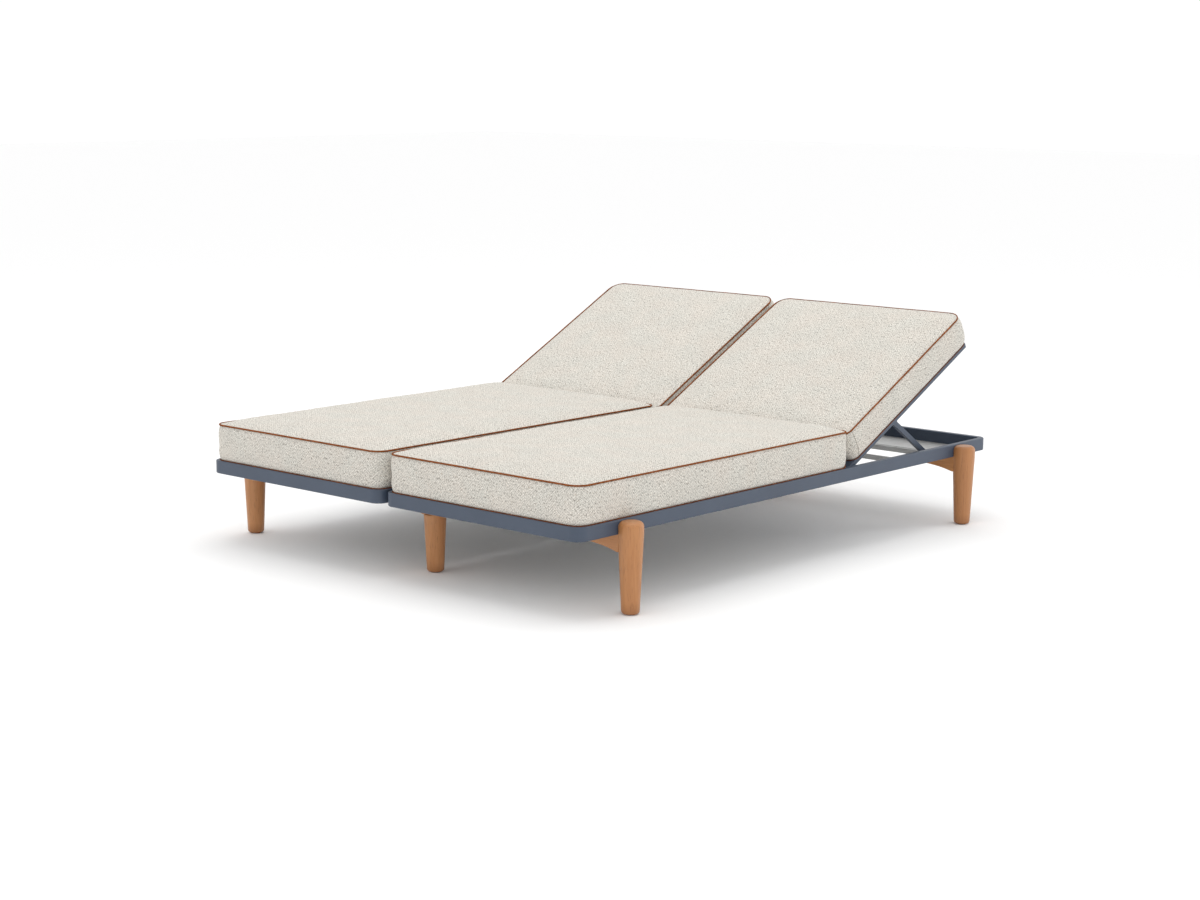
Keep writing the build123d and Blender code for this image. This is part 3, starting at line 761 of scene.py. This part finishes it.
def reclined(points, side):
    # from the back cushion's flat frame to its resting place on the reclined back
    turn = math.radians(backPlace["angle"])
    y = points[:, 1] + backPlace["fromHinge"] + backCushion["length"] / 2
    z = points[:, 2] + backPlace["aboveHinge"]
    return np.column_stack([
        points[:, 0] + side * backPlace["centreX"],
        backPlace["hinge"][0] + y * math.cos(turn) - z * math.sin(turn),
        backPlace["hinge"][1] + y * math.sin(turn) + z * math.cos(turn),
    ])


seatPlace = dict(
    footEnd=-0.991,     # where the cushion begins along Y
    rest=0.2603,        # height of its underside
)


def seated(points, side):
    # from the seat cushion's flat frame to its place on the rails
    low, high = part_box("right_seat_cushion")
    middle = (low + high) / 2
    centreY = seatPlace["footEnd"] + seatCushion["length"] / 2
    return points + np.array([side * middle.x, centreY, seatPlace["rest"]])


def shaped(spec):
    points, faces, maps, give, bandIds = boxGrid(spec)
    points = blownUp(spec, points, faces, give)
    return points + waviness(spec, points, give), faces, maps, bandIds


def mirrored(points, faces, maps, side):
    # the left side's faces run the other way round, so that they point outwards too
    if side > 0:
        return points, faces, maps
    return points * np.array([-1, 1, 1]), faces[:, ::-1], maps[:, ::-1]


def softened(piece):
    rounding = piece.modifiers.new("subdivision", "SUBSURF")
    rounding.levels = rounding.render_levels = 1
    return piece


def bendWithBack(piece):
    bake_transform(piece)


for spec, place in ((seatCushion, seated), (backCushion, reclined)):
    base, faces, maps, bandIds = shaped(spec)
    pipingParts = pipingLoops(spec, base, bandIds)
    for side, sideName in ((1, "right"), (-1, "left")):
        name = sideName + "_" + spec["name"]
        points, quadsOut, mapsOut = mirrored(base, faces, maps, side)
        cushion = softened(meshPiece(name + "_cover", place(points, side), quadsOut, mapsOut, clothFinish))
        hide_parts(name)
        points, quadsOut, mapsOut = mirrored(*pipingParts, side)
        cord = meshPiece(name + "_piping", place(points, side), quadsOut, mapsOut, pipingFinish)
        for piece in (cushion, cord):
            if spec is seatCushion:
                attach(piece, "root")
            else:
                bendWithBack(piece)
    print(spec["name"], "made for both sides")


# Studio: a pale floor, an even white surround and soft lamps
studio = dict(
    floorSize=60.0,
    floorColour=(0.96, 0.96, 0.96, 1),
    floorRoughness=0.9,
    surround=(1.0, 1.0, 1.0, 1),
    surroundStrength=1.03,
    aim=(0, 0, 0.25),   # what the lamps point at
)
lamps = [
    dict(name="overhead", place=(-0.2, 0.0, 5.0), size=5.0, power=72, colour=(1.0, 0.995, 0.985)),
    dict(name="rearRight", place=(2.6, 3.5, 1.2), size=1.2, power=11, colour=(1.0, 0.99, 0.975)),
]


def pointAt(thing, target):
    thing.rotation_euler = (Vector(target) - thing.location).to_track_quat("-Z", "Y").to_euler()


def makeStudio(studio, lamps):
    half = studio["floorSize"] / 2
    mesh = bpy.data.meshes.new("floor")
    corners = [(-half, -half, 0), (half, -half, 0), (half, half, 0), (-half, half, 0)]
    mesh.from_pydata(corners, [], [(0, 1, 2, 3)])
    floor = bpy.data.objects.new("floor", mesh)
    bpy.context.scene.collection.objects.link(floor)
    g = Graph("paleFloor")
    matt = g.finish(BaseColor=studio["floorColour"], Roughness=studio["floorRoughness"], SpecularIORLevel=0.1)
    mesh.materials.append(matt)
    world = bpy.data.worlds.new("surround")
    world.use_nodes = True
    shade = world.node_tree.nodes["Background"]
    shade.inputs["Color"].default_value = studio["surround"]
    shade.inputs["Strength"].default_value = studio["surroundStrength"]
    bpy.context.scene.world = world
    for spec in lamps:
        light = bpy.data.lights.new(spec["name"], "AREA")
        light.shape = "DISK"
        light.size = spec["size"]
        light.energy = spec["power"]
        light.color = spec["colour"]
        lamp = bpy.data.objects.new(spec["name"], light)
        bpy.context.scene.collection.objects.link(lamp)
        lamp.location = spec["place"]
        pointAt(lamp, studio["aim"])


makeStudio(studio, lamps)
bpy.context.scene.view_settings.view_transform = "Standard"
print("studio ready")
